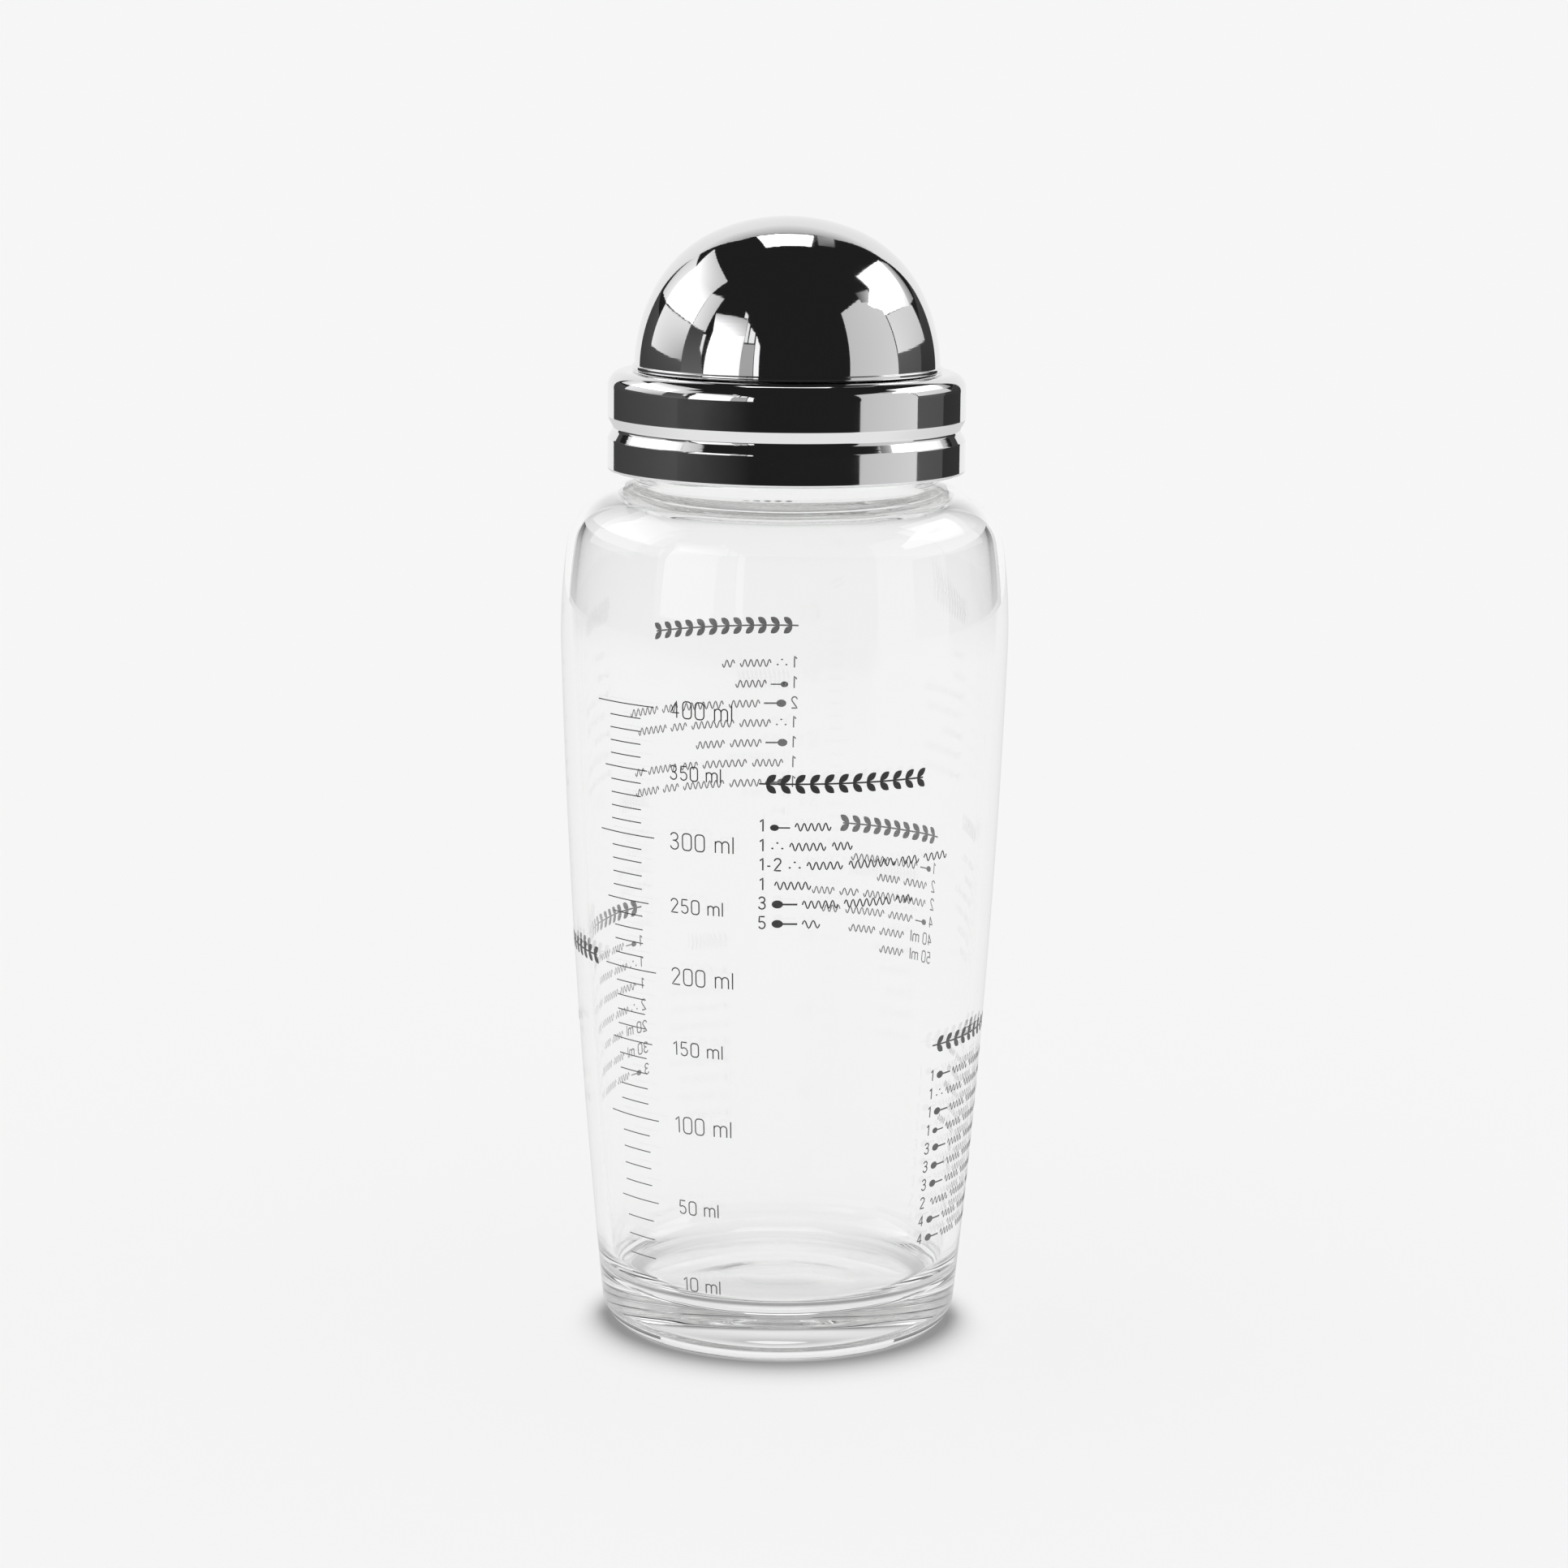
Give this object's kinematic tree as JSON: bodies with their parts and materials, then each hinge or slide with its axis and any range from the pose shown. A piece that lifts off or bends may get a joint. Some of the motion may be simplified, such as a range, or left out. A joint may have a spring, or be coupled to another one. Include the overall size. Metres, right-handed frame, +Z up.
{
  "type": "salad dressing shaker bottle",
  "caption": "Clear glass dressing shaker with a printed measuring scale, a screwed-on two-band steel collar and a domed steel cap over its strainer and pouring neck.",
  "frame": {"origin": "middle of the foot, on the surface it stands on", "axes": "+Z up along the bottle's axis, -Y towards the side with the measuring scale"},
  "size_m": [0.0804, 0.0804, 0.2019],
  "materials": {
    "clear_glass": "clear, smooth pressed glass",
    "mirror_steel": "mirror-polished stainless steel",
    "inner_steel": "plain drawn stainless steel",
    "insert_plastic": "moulded polypropylene, off-white",
    "clear_silicone": "translucent silicone"
  },
  "bodies": {
    "bottle": {"glass_bottle": "clear_glass"},
    "seal": {"neck_seal": "clear_silicone"},
    "collar": {"collar_shell": "mirror_steel", "thread_insert": "insert_plastic", "pouring_neck": "inner_steel", "pouring_neck_ring": "clear_silicone", "strainer_disc": "inner_steel"},
    "cap": {"dome_shell": "mirror_steel", "dome_liner": "insert_plastic", "dome_seal": "clear_silicone"}
  },
  "joints": [
    {"name": "closure_lift", "type": "slide", "parent": "bottle", "child": "seal", "axis": [0, 0, 1], "range_m": [0, 0.022]},
    {"name": "closure_turn", "type": "hinge", "parent": "seal", "child": "collar", "pos_m": [0, 0, 0.17], "axis": [0, 0, 1], "range_deg": [0, 990]},
    {"name": "cap_lift", "type": "slide", "parent": "collar", "child": "cap", "axis": [0, 0, 1], "range_m": [0, 0.03]}
  ],
  "couplings": [
    {"joint": "closure_lift", "follows": "closure_turn", "m_per_rad": 0.0012732}
  ]
}
